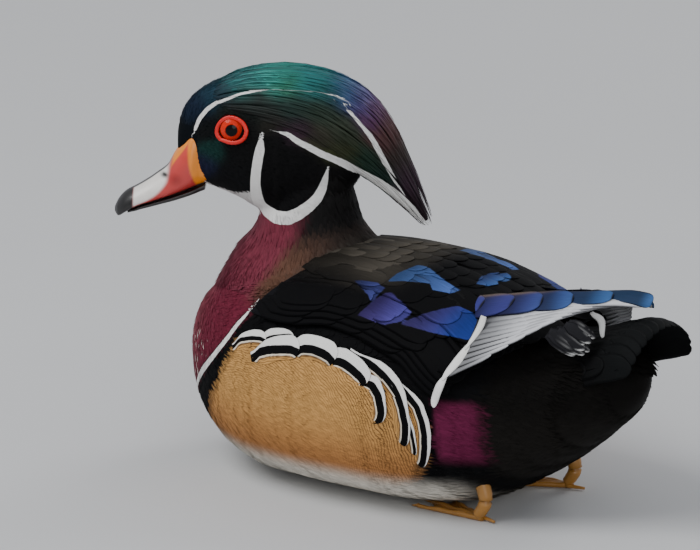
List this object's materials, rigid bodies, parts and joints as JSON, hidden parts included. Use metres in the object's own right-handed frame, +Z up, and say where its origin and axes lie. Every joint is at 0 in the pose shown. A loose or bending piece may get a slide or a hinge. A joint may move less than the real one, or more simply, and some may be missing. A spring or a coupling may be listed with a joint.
{
  "type": "wood duck",
  "caption": "Life-size still model of a drake wood duck afloat, head turned to its left, crest down, wings folded, resting flat on its belly.",
  "frame": {"origin": "on the floor under the middle of the bird's box", "axes": "+Z up, -X the way the body faces, -Y the bird's left side"},
  "size_m": [0.2762, 0.1392, 0.1809],
  "materials": {
    "body_plumage": "barred tan, chestnut, black and white contour feathers, matt",
    "neck_plumage": "chestnut maroon to brown hair-like feathers, matt",
    "head_plumage": "iridescent green and black hair-like feathers with white bars",
    "crest_plumage": "long iridescent green to purple feathers with white lines",
    "wing_plumage": "black to iridescent blue feathers, satin",
    "flight_feathers": "silver webs with iridescent blue tips, satin",
    "tail_plumage": "black with a faint green gloss",
    "bill_horn": "red and white with a yellow base and black nail, satin",
    "lower_bill": "dark horn, satin",
    "eye_surface": "red iris and black pupil under a clear gloss",
    "eye_ring": "orange-red bare skin, satin",
    "leg_skin": "dull ochre scaled skin with darker webs"
  },
  "bodies": {
    "root": {"torso": "body_plumage", "neck": "neck_plumage", "head": "head_plumage", "crest": "crest_plumage", "bill_upper": "bill_horn", "bill_lower": "lower_bill", "tail": "tail_plumage", "eye_left": "eye_surface", "eyelid_left": "eye_ring", "wing_left": "wing_plumage", "primaries_left": "flight_feathers", "leg_left": "leg_skin", "foot_left": "leg_skin", "eye_right": "eye_surface", "eyelid_right": "eye_ring", "wing_right": "wing_plumage", "primaries_right": "flight_feathers", "leg_right": "leg_skin", "foot_right": "leg_skin"}
  },
  "joints": []
}
